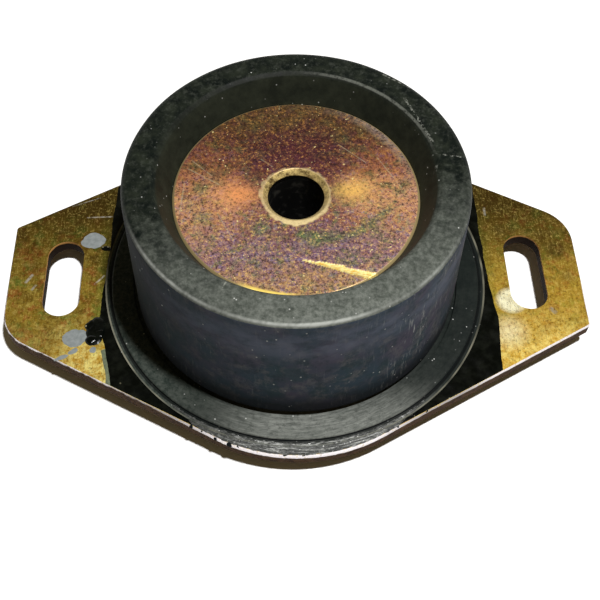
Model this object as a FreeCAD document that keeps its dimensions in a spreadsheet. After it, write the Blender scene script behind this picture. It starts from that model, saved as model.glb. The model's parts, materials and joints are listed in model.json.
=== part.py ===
"""Rubber-bonded engine mount: slotted lozenge flange, rubber body, top load disc and core sleeve.

Frame: millimetres, +Z up along the bolt bore, +X along the flange's length.  The origin is on the
bore's axis in the plane of the rubber foot, so the mount stands on Z = 0.
"""
import FreeCAD, Part
import math
import os
import Sketcher

XY = "XY_Plane"
XZ = "XZ_Plane"
ROUND = "round"
BEVEL = "bevel"
# Two places nearer than this, in millimetres, are the same place.
SAME_PLACE = 1e-4

doc = FreeCAD.newDocument("EngineMount")

# Driving sizes, in millimetres.
SIZES = {
    # flange plate: pressed steel, straight ends and flanks drawn tangent to two lobes
    "plate_end_width": 38.4,
    "plate_thick": 4.0,
    "lobe_radius": 48.0,
    "lobe_land": 2.5,
    "end_land": 10.7,
    "corner_radius": 13.0,
    "corner_break": 1.2,
    "edge_bevel": 0.35,
    "slot_spacing": 138.6,
    "slot_width": 11.0,
    "slot_length": 26.8,
    "plate_hole_radius": 30.0,
    # rubber above the flange
    "rubber_height": 46.0,
    "body_base_radius": 47.0,
    "body_top_radius": 46.0,
    "rim_round": 2.2,
    "rim_inner_radius": 37.3,
    "rim_inner_bevel": 0.9,
    "groove_depth": 1.6,
    "groove_floor": 0.4,
    "groove_height": 2.6,
    "ledge_gap": 1.0,
    "ledge_width": 6.6,
    "ledge_thick": 1.3,
    "ledge_bevel": 0.4,
    "crease_width": 0.6,
    "crease_floor": 0.15,
    "skin_width": 1.3,
    "skin_thick": 0.4,
    "lip_width": 0.4,
    "lip_height": 0.3,
    "skin_margin": 0.2,
    "ridge_pitch": 0.85,
    "ridge_width": 0.4,
    "ridge_depth": 0.25,
    # rubber below the flange
    "foot_height": 5.5,
    "foot_radius": 50.0,
    "foot_ledge_width": 3.5,
    "foot_ledge_thick": 1.0,
    "hollow_radius": 34.0,
    "hollow_depth": 4.0,
    "hollow_slope": 3.0,
    # load disc and core sleeve
    "disc_radius": 33.2,
    "disc_thick": 3.0,
    "disc_drop": 7.8,
    "disc_edge_bevel": 0.6,
    "bore_radius": 7.6,
    "bore_chamfer": 1.3,
    "sleeve_wall": 4.0,
    "sleeve_lift": 1.0,
    "sleeve_chamfer": 0.8,
}

# Places worked out from the sizes: radii from the bore's axis and heights above the foot.
PLACES = {
    "zero": "0",
    "slot_x": "Sizes.slot_spacing / 2",
    "slot_end_radius": "Sizes.slot_width / 2",
    "slot_half_run": "Sizes.slot_length / 2 - slot_end_radius",
    "half_length": "slot_x + slot_end_radius + Sizes.end_land",
    "half_end": "Sizes.plate_end_width / 2",
    "plate_under": "Sizes.foot_height",
    "plate_top": "plate_under + Sizes.plate_thick",
    "rim_top": "plate_top + Sizes.rubber_height",
    "disc_top": "rim_top - Sizes.disc_drop",
    "disc_under": "disc_top - Sizes.disc_thick",
    "disc_shoulder": "disc_top - Sizes.disc_edge_bevel",
    "sleeve_radius": "Sizes.bore_radius + Sizes.sleeve_wall",
    "sleeve_length": "disc_under - Sizes.sleeve_lift",
    "groove_radius": "Sizes.body_base_radius - Sizes.groove_depth",
    "groove_bottom": "plate_top + Sizes.groove_floor",
    "groove_top": "plate_top + Sizes.groove_height",
    "ledge_inner": "Sizes.body_base_radius + Sizes.ledge_gap",
    "ledge_outer": "ledge_inner + Sizes.ledge_width",
    "ledge_top": "plate_top + Sizes.ledge_thick",
    "crease_outer": "ledge_outer + Sizes.crease_width",
    "crease_bottom": "plate_top + Sizes.crease_floor",
    "skin_outer": "crease_outer + Sizes.skin_width",
    "skin_top": "plate_top + Sizes.skin_thick",
    "lip_inner": "skin_outer - Sizes.lip_width",
    "lip_top": "skin_top + Sizes.lip_height",
    "lobe_offset": "skin_outer + Sizes.lobe_land - Sizes.lobe_radius",
    "lobe_skin_radius": "Sizes.lobe_radius - Sizes.edge_bevel - Sizes.skin_margin",
    "ridge_bottom": "skin_top - Sizes.ridge_depth",
    "foot_ledge_outer": "Sizes.foot_radius + Sizes.foot_ledge_width",
    "foot_ledge_under": "plate_under - Sizes.foot_ledge_thick",
    "hollow_root": "Sizes.hollow_radius - Sizes.hollow_slope",
}
# The skin on each lobe has a shallow valley at each multiple of the ridge pitch.
VALLEYS = (1, 2)
for number in VALLEYS:
    middle = "valley_%d_middle" % number
    PLACES[middle] = "skin_outer + %d * Sizes.ridge_pitch" % number
    PLACES["valley_%d_inner" % number] = middle + " - Sizes.ridge_width / 2"
    PLACES["valley_%d_outer" % number] = middle + " + Sizes.ridge_width / 2"

# Corners of the rubber moulding's section, anticlockwise from the hollow's root at the sleeve.
# Each is a radius and a height, and a rounded or bevelled corner has the size of that as well.
RUBBER_PROFILE = [
    ("Places.sleeve_radius", "Sizes.hollow_depth"),
    ("Places.hollow_root", "Sizes.hollow_depth"),
    ("Sizes.hollow_radius", "Places.zero"),
    ("Sizes.foot_radius", "Places.zero"),
    ("Sizes.foot_radius", "Places.foot_ledge_under"),
    ("Places.foot_ledge_outer", "Places.foot_ledge_under"),
    ("Places.foot_ledge_outer", "Places.plate_under"),
    # round the edge of the flange's centre hole
    ("Sizes.plate_hole_radius", "Places.plate_under"),
    ("Sizes.plate_hole_radius", "Places.plate_top"),
    # thin skin on the flange, with a lip at its edge and a crease beside the ledge
    ("Places.skin_outer", "Places.plate_top"),
    ("Places.skin_outer", "Places.lip_top"),
    ("Places.lip_inner", "Places.skin_top"),
    ("Places.crease_outer", "Places.skin_top"),
    ("Places.ledge_outer", "Places.crease_bottom"),
    # ledge, undercut groove and side of the body
    ("Places.ledge_outer", "Places.ledge_top", BEVEL, "Sizes.ledge_bevel"),
    ("Places.ledge_inner", "Places.ledge_top"),
    ("Places.ledge_inner", "Places.groove_bottom"),
    ("Places.groove_radius", "Places.groove_bottom"),
    ("Places.groove_radius", "Places.groove_top"),
    ("Sizes.body_base_radius", "Places.groove_top"),
    ("Sizes.body_top_radius", "Places.rim_top", ROUND, "Sizes.rim_round"),
    # rim, sloped wall of the recess and the seat of the disc
    ("Sizes.rim_inner_radius", "Places.rim_top", BEVEL, "Sizes.rim_inner_bevel"),
    ("Sizes.disc_radius", "Places.disc_shoulder"),
    ("Sizes.disc_radius", "Places.disc_under"),
    ("Places.sleeve_radius", "Places.disc_under"),
]

DISC_PROFILE = [
    ("Sizes.bore_radius", "Places.disc_under"),
    ("Sizes.disc_radius", "Places.disc_under"),
    ("Sizes.disc_radius", "Places.disc_top"),
    ("Sizes.bore_radius", "Places.disc_top"),
]


def make_sheet(name, cells, prefix=""):
    """A spreadsheet with one aliased row for each named value."""
    sheet = doc.addObject("Spreadsheet::Sheet", name)
    for row, (alias, content) in enumerate(cells.items(), start=1):
        sheet.set("A%d" % row, alias)
        sheet.set("B%d" % row, prefix + str(content))
        sheet.setAlias("B%d" % row, alias)
    doc.recompute()
    return sheet


sizes = make_sheet("Sizes", SIZES)
places = make_sheet("Places", PLACES, "=")
SHEETS = {"Sizes": sizes, "Places": places}


def value(term):
    """The number that a term such as Sizes.plate_thick or -Sizes.plate_thick stands for."""
    sheet, alias = term.lstrip("-").split(".")
    number = float(SHEETS[sheet].get(alias))
    return -number if term.startswith("-") else number


def make_body(name):
    body = doc.addObject("PartDesign::Body", name)
    body.Label = name
    body.Placement = FreeCAD.Placement()
    return body


def make_sketch(body, name, role, height=None):
    """A sketch on one of the body's own origin planes, raised to a height above it."""
    sketch = body.newObject("Sketcher::SketchObject", name)
    plane = next(item for item in body.Origin.OriginFeatures if item.Role == role)
    sketch.AttachmentSupport = [(plane, "")]
    sketch.MapMode = "FlatFace"
    if height:
        sketch.setExpression("AttachmentOffset.Base.z", height)
    return sketch


def bind(sketch, constraint, term):
    index = sketch.addConstraint(constraint)
    sketch.setExpression("Constraints[%d]" % index, term)


def bind_point(sketch, geometry, vertex, across, up):
    """Hold a point at two named distances from the sketch's origin."""
    for kind, term in (("DistanceX", across), ("DistanceY", up)):
        constraint = Sketcher.Constraint(kind, -1, 1, geometry, vertex, value(term))
        bind(sketch, constraint, term)


def vector(across, up):
    return FreeCAD.Vector(value(across), value(up), 0)


def treated_corner(before, corner, after, kind, size):
    """Where a round or bevel meets the two edges of its corner, and the centre of a round."""
    back = (before - corner).normalize()
    ahead = (after - corner).normalize()
    half = back.getAngle(ahead) / 2
    setback = size / math.tan(half) if kind == ROUND else size
    middle = (back + ahead).normalize()
    centre = corner + middle * (size / math.sin(half))
    return corner + back * setback, corner + ahead * setback, centre


def add_round(sketch, before, after, arrive, leave, centre, radius):
    """An arc tangent to the edges before and after it."""
    first, last = arrive - centre, leave - centre
    outward = first.cross(last).z > 0
    start, end = (first, last) if outward else (last, first)
    circle = Part.Circle(centre, FreeCAD.Vector(0, 0, 1), value(radius))
    angles = math.atan2(start.y, start.x), math.atan2(end.y, end.x)
    arc = sketch.addGeometry(Part.ArcOfCircle(circle, *angles))
    arrive_vertex, leave_vertex = (1, 2) if outward else (2, 1)
    sketch.addConstraint(Sketcher.Constraint("Tangent", before, 2, arc, arrive_vertex))
    sketch.addConstraint(Sketcher.Constraint("Tangent", after, 1, arc, leave_vertex))
    bind(sketch, Sketcher.Constraint("Radius", arc, value(radius)), radius)


def add_bevel(sketch, before, after, arrive, leave, corner_point, size):
    """A straight edge that cuts the corner by one size along both of its edges."""
    bevel = sketch.addGeometry(Part.LineSegment(arrive, leave))
    sketch.addConstraint(Sketcher.Constraint("Coincident", before, 2, bevel, 1))
    sketch.addConstraint(Sketcher.Constraint("Coincident", bevel, 2, after, 1))
    for edge, vertex in ((before, 2), (after, 1)):
        constraint = Sketcher.Constraint("Distance", corner_point, 1, edge, vertex, value(size))
        bind(sketch, constraint, size)


def add_outline(sketch, corners):
    """A closed run of straight edges through named corners, some of them rounded or bevelled."""
    count = len(corners)
    places = [vector(*corner[:2]) for corner in corners]
    arrive, leave, centres = list(places), list(places), {}
    for step, corner in enumerate(corners):
        if len(corner) == 4:
            neighbours = places[step - 1], places[step], places[(step + 1) % count]
            arrive[step], leave[step], centres[step] = treated_corner(
                *neighbours, corner[2], value(corner[3])
            )
    edges = [
        sketch.addGeometry(Part.LineSegment(leave[step], arrive[(step + 1) % count]))
        for step in range(count)
    ]
    for step, corner in enumerate(corners):
        before, after = edges[step - 1], edges[step]
        if step not in centres:
            sketch.addConstraint(Sketcher.Constraint("Coincident", before, 2, after, 1))
            bind_point(sketch, after, 1, *corner)
            continue
        point = sketch.addGeometry(Part.Point(places[step]), True)
        bind_point(sketch, point, 1, *corner[:2])
        for edge in (before, after):
            sketch.addConstraint(Sketcher.Constraint("PointOnObject", point, 1, edge))
        ends = before, after, arrive[step], leave[step]
        if corner[2] == ROUND:
            add_round(sketch, *ends, centres[step], corner[3])
        else:
            add_bevel(sketch, *ends, point, corner[3])


def add_circle(sketch, radius):
    circle = Part.Circle(FreeCAD.Vector(), FreeCAD.Vector(0, 0, 1), value(radius))
    index = sketch.addGeometry(circle)
    sketch.addConstraint(Sketcher.Constraint("Coincident", index, 3, -1, 1))
    bind(sketch, Sketcher.Constraint("Radius", index, value(radius)), radius)


def add_arc(sketch, across, up, radius, start, end):
    """An arc, anticlockwise from start to end, with a named centre and radius."""
    circle = Part.Circle(vector(across, up), FreeCAD.Vector(0, 0, 1), value(radius))
    index = sketch.addGeometry(Part.ArcOfCircle(circle, start, end))
    bind_point(sketch, index, 3, across, up)
    bind(sketch, Sketcher.Constraint("Radius", index, value(radius)), radius)
    return index


def revolve(body, name, corners):
    sketch = make_sketch(body, name + "Profile", XZ)
    add_outline(sketch, corners)
    feature = body.newObject("PartDesign::Revolution", name)
    feature.Profile = sketch
    feature.ReferenceAxis = (sketch, ["V_Axis"])
    feature.Angle = 360
    doc.recompute()
    return feature


def pad(body, name, sketch, length):
    feature = body.newObject("PartDesign::Pad", name)
    feature.Profile = sketch
    feature.setExpression("Length", length)
    doc.recompute()
    return feature


def pocket(body, name, sketch, depth):
    """Cut down from the sketch, and check that material was removed."""
    before = body.Shape.Volume
    feature = body.newObject("PartDesign::Pocket", name)
    feature.Profile = sketch
    feature.setExpression("Length", depth)
    doc.recompute()
    if feature.Shape.Volume >= before:
        raise RuntimeError(name + " removed nothing")
    return feature


def dress(body, kind, name, size_property, term, wanted):
    """A Fillet or Chamfer on the edges of the body's tip that the test picks out."""
    base = body.Tip
    edges = ["Edge%d" % (i + 1) for i, edge in enumerate(base.Shape.Edges) if wanted(edge)]
    if not edges:
        raise RuntimeError(name + " found no edge")
    feature = body.newObject("PartDesign::" + kind, name)
    feature.Base = (base, edges)
    feature.setExpression(size_property, term)
    doc.recompute()
    return feature


def ring_edge(radius, height):
    """A test for the circular edge of a named radius at a named height."""
    def wanted(edge):
        return (
            isinstance(edge.Curve, Part.Circle)
            and abs(edge.Curve.Radius - value(radius)) < SAME_PLACE
            and abs(edge.Curve.Center.z - value(height)) < SAME_PLACE
        )
    return wanted


def corner_edge(across, up):
    """A test for the upright edge at a named corner of the flange."""
    corner = vector(across, up)

    def wanted(edge):
        first, last = edge.Vertexes[0].Point, edge.Vertexes[-1].Point
        level_first = FreeCAD.Vector(first.x, first.y, 0)
        level_last = FreeCAD.Vector(last.x, last.y, 0)
        return (level_first - corner).Length < SAME_PLACE and (level_last - corner).Length < SAME_PLACE
    return wanted


def top_outline_edge(edge):
    """Every edge that lies in the flange's upper face."""
    return all(abs(v.Point.z - value("Places.plate_top")) < SAME_PLACE for v in edge.Vertexes)


def tangent_angle():
    """Direction, from the lobe's centre, of the point where a flank meets the lobe."""
    across = value("Places.half_length")
    up = value("Places.half_end") - value("Places.lobe_offset")
    reach = math.hypot(across, up)
    return math.atan2(up, across) + math.acos(value("Sizes.lobe_radius") / reach)


def draw_outline(sketch):
    """Straight ends, four flanks and two lobes, with each flank tangent to its lobe."""
    angle = tangent_angle()
    back = add_arc(
        sketch, "Places.zero", "Places.lobe_offset", "Sizes.lobe_radius", angle, math.pi - angle
    )
    front = add_arc(
        sketch, "Places.zero", "-Places.lobe_offset", "Sizes.lobe_radius",
        math.pi + angle, 2 * math.pi - angle,
    )
    geometry = sketch.Geometry
    ends = {}
    for side in ("", "-"):
        across = side + "Places.half_length"
        low, high = (across, "-Places.half_end"), (across, "Places.half_end")
        ends[side] = sketch.addGeometry(Part.LineSegment(vector(*low), vector(*high)))
        bind_point(sketch, ends[side], 1, *low)
        bind_point(sketch, ends[side], 2, *high)
    # lobe, the lobe's vertex, the end line and the end line's vertex that each flank joins
    joins = [(back, 1, "", 2), (back, 2, "-", 2), (front, 1, "-", 1), (front, 2, "", 1)]
    for lobe, lobe_vertex, side, end_vertex in joins:
        arc = geometry[lobe]
        start = arc.StartPoint if lobe_vertex == 1 else arc.EndPoint
        corner_up = "Places.half_end" if end_vertex == 2 else "-Places.half_end"
        corner = vector(side + "Places.half_length", corner_up)
        flank = sketch.addGeometry(Part.LineSegment(start, corner))
        sketch.addConstraint(Sketcher.Constraint("Tangent", flank, 1, lobe, lobe_vertex))
        sketch.addConstraint(Sketcher.Constraint("Coincident", flank, 2, ends[side], end_vertex))


def draw_slot(sketch, across):
    """One bolt slot, lying across the flange's length."""
    half_run, radius = "Places.slot_half_run", "Places.slot_end_radius"
    upper = add_arc(sketch, across, half_run, radius, 0, math.pi)
    lower = add_arc(sketch, across, "-" + half_run, radius, math.pi, 2 * math.pi)
    arcs = sketch.Geometry[upper], sketch.Geometry[lower]
    left = sketch.addGeometry(Part.LineSegment(arcs[0].EndPoint, arcs[1].StartPoint))
    right = sketch.addGeometry(Part.LineSegment(arcs[1].EndPoint, arcs[0].StartPoint))
    for line, vertex, arc, arc_vertex in (
        (left, 1, upper, 2), (left, 2, lower, 1), (right, 1, lower, 2), (right, 2, upper, 1)
    ):
        sketch.addConstraint(Sketcher.Constraint("Tangent", line, vertex, arc, arc_vertex))


def build_flange_plate():
    body = make_body("flange_plate")
    outline = make_sketch(body, "PlateOutline", XY, "Places.plate_under")
    draw_outline(outline)
    pad(body, "PlatePad", outline, "Sizes.plate_thick")
    # the front left and back right corners are cropped round, the other two are only broken
    half, end = "Places.half_length", "Places.half_end"
    corners = [
        ("FrontLeftCorner", "Sizes.corner_radius", "-" + half, "-" + end),
        ("BackRightCorner", "Sizes.corner_radius", half, end),
        ("BackLeftCorner", "Sizes.corner_break", "-" + half, end),
        ("FrontRightCorner", "Sizes.corner_break", half, "-" + end),
    ]
    for name, radius, across, up in corners:
        dress(body, "Fillet", name, "Radius", radius, corner_edge(across, up))
    dress(body, "Chamfer", "PlateEdgeBevel", "Size", "Sizes.edge_bevel", top_outline_edge)
    # the slots and the centre hole are punched after that, with sharp edges
    slots = make_sketch(body, "PlateSlots", XY, "Places.plate_top")
    draw_slot(slots, "Places.slot_x")
    draw_slot(slots, "-Places.slot_x")
    pocket(body, "PlateSlotCut", slots, "Sizes.plate_thick")
    hole = make_sketch(body, "PlateHole", XY, "Places.plate_top")
    add_circle(hole, "Sizes.plate_hole_radius")
    pocket(body, "PlateHoleCut", hole, "Sizes.plate_thick")
    return body


def draw_lobe_skins(sketch):
    """Two crescents, between the round skin's edge and the bevelled edge of each lobe."""
    inner, outer = value("Places.lip_inner"), value("Places.lobe_skin_radius")
    offset = value("Places.lobe_offset")
    # height of the two circles' crossing above the bore's axis
    rise = (inner ** 2 - outer ** 2 + offset ** 2) / (2 * offset)
    inner_angle = math.asin(rise / inner)
    outer_angle = math.asin((rise - offset) / outer)
    for turn, centre in ((0, "Places.lobe_offset"), (math.pi, "-Places.lobe_offset")):
        inside = add_arc(
            sketch, "Places.zero", "Places.zero", "Places.lip_inner",
            turn + inner_angle, turn + math.pi - inner_angle,
        )
        outside = add_arc(
            sketch, "Places.zero", centre, "Places.lobe_skin_radius",
            turn + outer_angle, turn + math.pi - outer_angle,
        )
        for vertex in (1, 2):
            sketch.addConstraint(Sketcher.Constraint("Coincident", inside, vertex, outside, vertex))


def build_rubber_body():
    body = make_body("rubber_body")
    revolve(body, "RubberMoulding", RUBBER_PROFILE)
    skins = make_sketch(body, "LobeSkins", XY, "Places.plate_top")
    draw_lobe_skins(skins)
    pad(body, "LobeSkinPad", skins, "Sizes.skin_thick")
    ridges = make_sketch(body, "RidgeProfile", XZ)
    for number in VALLEYS:
        add_outline(ridges, [
            ("Places.valley_%d_inner" % number, "Places.lip_top"),
            ("Places.valley_%d_middle" % number, "Places.ridge_bottom"),
            ("Places.valley_%d_outer" % number, "Places.lip_top"),
        ])
    before = body.Shape.Volume
    groove = body.newObject("PartDesign::Groove", "LobeSkinRidges")
    groove.Profile = ridges
    groove.ReferenceAxis = (ridges, ["V_Axis"])
    groove.Angle = 360
    doc.recompute()
    if groove.Shape.Volume >= before:
        raise RuntimeError("LobeSkinRidges removed nothing")
    return body


def build_load_disc():
    body = make_body("load_disc")
    revolve(body, "DiscBlank", DISC_PROFILE)
    dress(
        body, "Chamfer", "DiscEdgeBevel", "Size", "Sizes.disc_edge_bevel",
        ring_edge("Sizes.disc_radius", "Places.disc_top"),
    )
    dress(
        body, "Chamfer", "BoreChamfer", "Size", "Sizes.bore_chamfer",
        ring_edge("Sizes.bore_radius", "Places.disc_top"),
    )
    return body


def build_core_sleeve():
    body = make_body("core_sleeve")
    section = make_sketch(body, "SleeveSection", XY, "Sizes.sleeve_lift")
    add_circle(section, "Places.sleeve_radius")
    add_circle(section, "Sizes.bore_radius")
    pad(body, "SleevePad", section, "Places.sleeve_length")
    dress(
        body, "Chamfer", "SleeveFootChamfer", "Size", "Sizes.sleeve_chamfer",
        ring_edge("Places.sleeve_radius", "Sizes.sleeve_lift"),
    )
    return body


bodies = [build_flange_plate(), build_rubber_body(), build_load_disc(), build_core_sleeve()]
doc.recompute()

for item in doc.Objects:
    if "Invalid" in item.State or "Error" in item.State:
        raise RuntimeError("%s did not recompute" % item.Name)
for body in bodies:
    if body.Shape.isNull() or not body.Shape.isValid():
        raise RuntimeError("%s has no valid shape" % body.Label)

os.makedirs("parts", exist_ok=True)
for body in bodies:
    body.Shape.exportStep("parts/%s.step" % body.Label)
    print(body.Label, len(body.Shape.Solids), "solid", round(body.Shape.Volume, 1), "mm3")
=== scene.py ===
"""Engine mount: a zinc plated lozenge flange, a rubber body, a plated load disc and a core sleeve.

Metres, in the frame of the CAD model: +Z up along the bolt bore, +X along the flange.
"""

import json
import math

import bmesh
import bpy
import numpy as np
from mathutils import Matrix, Vector, noise
from mathutils.bvhtree import BVHTree


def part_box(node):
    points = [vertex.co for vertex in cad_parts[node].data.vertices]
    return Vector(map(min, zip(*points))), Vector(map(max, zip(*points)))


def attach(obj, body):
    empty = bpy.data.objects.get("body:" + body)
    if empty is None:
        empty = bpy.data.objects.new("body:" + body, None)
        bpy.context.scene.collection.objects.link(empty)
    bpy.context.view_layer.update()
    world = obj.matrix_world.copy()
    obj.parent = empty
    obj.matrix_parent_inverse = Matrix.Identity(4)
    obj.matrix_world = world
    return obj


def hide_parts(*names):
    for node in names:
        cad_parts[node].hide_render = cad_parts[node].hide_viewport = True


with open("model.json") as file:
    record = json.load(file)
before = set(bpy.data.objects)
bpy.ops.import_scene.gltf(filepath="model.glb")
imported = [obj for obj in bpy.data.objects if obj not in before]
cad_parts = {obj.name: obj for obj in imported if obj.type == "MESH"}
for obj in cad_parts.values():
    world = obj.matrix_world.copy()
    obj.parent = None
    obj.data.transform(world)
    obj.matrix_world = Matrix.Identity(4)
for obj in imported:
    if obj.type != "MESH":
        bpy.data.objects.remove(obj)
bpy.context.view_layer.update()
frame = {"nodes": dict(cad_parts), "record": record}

MM = 0.001
FULL_TURN = 2 * math.pi

plate_low, plate_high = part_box("flange_plate")
rubber_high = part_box("rubber_body")[1]
disc_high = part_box("load_disc")[1]
PLATE_TOP = plate_high.z
RIM_TOP = rubber_high.z
SKIN_RADIUS = rubber_high.x
DISC_TOP = disc_high.z
DISC_RADIUS = disc_high.x
MOUNTS = {mount["name"]: mount for mount in frame["record"]["mounts"]}
BORE_RADIUS = MOUNTS["centre_bore"]["dims"]["r_mm"] * MM
SLOT_X = MOUNTS["bolt_slots"]["dims"]["spacing_x_mm"] / 2 * MM

# Radii on the rubber: the rim's inner edge, the painted highlight along its outer round,
# and the crease between the ledge and the lip.
RIM_INNER = 37.3 * MM
RIM_HIGHLIGHT = 45.45 * MM
CREASE = 54.95 * MM

LIFT = 0.01 * MM  # how far films and spots lie above the flange
FILM_EDGE = 0.35 * MM  # the width over which they round off
FILM_STEPS = 1200  # columns of a film round the axis
COAT_MARGIN = 0.45 * MM  # bare metal between the coat and the flange's edge
SHARP = math.radians(25)  # a section's corner is softened from this turn up
STRAIGHT = math.radians(2)  # and a turn below this is none

# The stage. Plain paper lights the object, and the camera and reflections see it a little brighter.
AMBIENT = 0.085
AMBIENT_TINT = (1.0, 0.79, 0.40)
CEILING = 0.10
BACKDROP_END = (0.35, 0.6)  # how steep a reflection is where the backdrop turns to ceiling
FLOOR_BOUNCE = 0.8
FLOOR_SEEN = 1.2
FLOOR_RADIUS = 0.22
FLOOR_CORNERS = 96


# ---- material graphs ----

class Nodes:
    """A node tree, with short calls that add nodes to it."""

    def __init__(self, tree):
        self.tree = tree

    def add(self, kind, inputs=None, **settings):
        """A new node with its settings, and inputs by name or number."""
        node = self.tree.nodes.new(kind)
        for key, value in settings.items():
            setattr(node, key, value)
        for key, value in (inputs or {}).items():
            self.put(node.inputs[key], value)
        return node

    def put(self, socket, value):
        """Link an output or set a plain value."""
        if isinstance(value, bpy.types.NodeSocket):
            self.tree.links.new(value, socket)
        elif socket.type == "RGBA":
            socket.default_value = (*value, 1.0)
        else:
            socket.default_value = value

    def calculate(self, operation, first, second=0.0):
        inputs = {0: first, 1: second}
        return self.add("ShaderNodeMath", inputs, operation=operation).outputs[0]

    def plus(self, first, second):
        return self.calculate("ADD", first, second)

    def minus(self, first, second):
        return self.calculate("SUBTRACT", first, second)

    def times(self, first, *others):
        for other in others:
            first = self.calculate("MULTIPLY", first, other)
        return first

    def larger(self, first, second):
        return self.calculate("MAXIMUM", first, second)

    def absolute(self, value):
        return self.calculate("ABSOLUTE", value)

    def hypot(self, first, second):
        squares = self.plus(self.times(first, first), self.times(second, second))
        return self.calculate("SQRT", squares)

    def ramp(self, value, low, high, start=0.0, end=1.0):
        """A share of the way from low to high, clamped, as a number from start to end."""
        inputs = {"Value": value, "From Min": low, "From Max": high, "To Min": start, "To Max": end}
        return self.add("ShaderNodeMapRange", inputs, clamp=True).outputs["Result"]

    def mix(self, share, first, second, mode="MIX"):
        """From the first colour to the second."""
        inputs = {"Factor": share, 6: first, 7: second}
        return self.add("ShaderNodeMix", inputs, data_type="RGBA", blend_type=mode).outputs[2]

    def layers(self, color, rows):
        """Colours laid over one another, from rows of (value, low, high, share, colour)."""
        for value, low, high, share, tint in rows:
            color = self.mix(self.ramp(value, low, high, 0, share), color, tint)
        return color

    def split(self, vector):
        parts = self.add("ShaderNodeSeparateXYZ", {0: vector}).outputs
        return parts[0], parts[1], parts[2]


class Graph(Nodes):
    """A principled material. The calls below take lengths in millimetres."""

    def __init__(self, name, metallic=0.0, roughness=0.5, specular=0.5):
        self.material = bpy.data.materials.new(name)
        self.material.use_nodes = True
        super().__init__(self.material.node_tree)
        self.shader = self.tree.nodes["Principled BSDF"]
        self.shader.inputs["Metallic"].default_value = metallic
        self.shader.inputs["Roughness"].default_value = roughness
        self.shader.inputs["Specular IOR Level"].default_value = specular
        self.place = self.add("ShaderNodeTexCoord").outputs["Object"]

    def span(self, value, low, high, start=0.0, end=1.0):
        """A ramp between two lengths."""
        return self.ramp(value, low * MM, high * MM, start, end)

    def wander(self, value, reach, low=0.0, high=1.0):
        """A length that strays by up to the reach either way as the value goes from low to high."""
        return self.ramp(value, low, high, -reach * MM, reach * MM)

    def noise(self, size, detail=3.0, roughness=0.55, place=None, stretch=None):
        """Noise from 0 to 1 whose features are about this size."""
        where = self.place if place is None else place
        if stretch is not None:
            scaled = self.add("ShaderNodeMapping", {"Vector": where, "Scale": stretch})
            where = scaled.outputs["Vector"]
        inputs = {"Vector": where, "Scale": 1 / (size * MM),
                  "Detail": detail, "Roughness": roughness}
        return self.add("ShaderNodeTexNoise", inputs).outputs["Fac"]

    def cells(self, size):
        """Distance to the nearest of many scattered points, as a share of their spacing."""
        inputs = {"Vector": self.place, "Scale": 1 / (size * MM)}
        return self.add("ShaderNodeTexVoronoi", inputs).outputs["Distance"]

    def axes(self):
        return self.split(self.place)

    def facing_up(self):
        return self.split(self.add("ShaderNodeNewGeometry").outputs["Normal"])[2]

    def radius(self):
        """Distance from the bore's axis."""
        x, y, _ = self.axes()
        return self.hypot(x, y)

    def near(self, across, up, reach, soft):
        """One inside a level disc about a place, falling to nothing over the soft distance."""
        x, y, _ = self.axes()
        far = self.hypot(self.minus(x, across * MM), self.minus(y, up * MM))
        return self.ramp(far, reach * MM, reach * MM + soft * MM, 1.0, 0.0)

    def stroke(self, first, second, width):
        """One along a straight scratch between two places on a level face."""
        x, y, _ = self.axes()
        (x0, y0), (x1, y1) = [[c * MM for c in place] for place in (first, second)]
        width = width * MM
        length = math.dist((x0, y0), (x1, y1))
        ux, uy = (x1 - x0) / length, (y1 - y0) / length
        dx, dy = self.minus(x, x0), self.minus(y, y0)
        along = self.plus(self.times(dx, ux), self.times(dy, uy))
        aside = self.absolute(self.minus(self.times(dx, uy), self.times(dy, ux)))
        past = self.absolute(self.minus(along, length / 2))
        inside = self.ramp(past, length / 2 - width, length / 2, 1.0, 0.0)
        return self.times(inside, self.ramp(aside, width / 2, width, 1.0, 0.0))

    def round_axis(self, shorten):
        """Coordinates that follow the turning: radius, and a circle shortened by a factor."""
        x, y, _ = self.axes()
        radius = self.radius()
        size = SKIN_RADIUS * shorten
        across, up = (self.times(self.calculate("DIVIDE", part, radius), size) for part in (x, y))
        return self.add("ShaderNodeCombineXYZ", {0: radius, 1: across, 2: up}).outputs[0]

    def painted(self, name):
        """A number that the mesh carries at its points."""
        return self.add("ShaderNodeAttribute", attribute_name=name).outputs["Fac"]

    def bump(self, height, strength, distance):
        inputs = {"Strength": strength, "Distance": distance * MM, "Height": height}
        self.put(self.shader.inputs["Normal"], self.add("ShaderNodeBump", inputs).outputs["Normal"])

    def finish(self, color, roughness=None, metallic=None):
        self.put(self.shader.inputs["Base Color"], color)
        for name, value in (("Roughness", roughness), ("Metallic", metallic)):
            if value is not None:
                self.put(self.shader.inputs[name], value)
        return self.material


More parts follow.
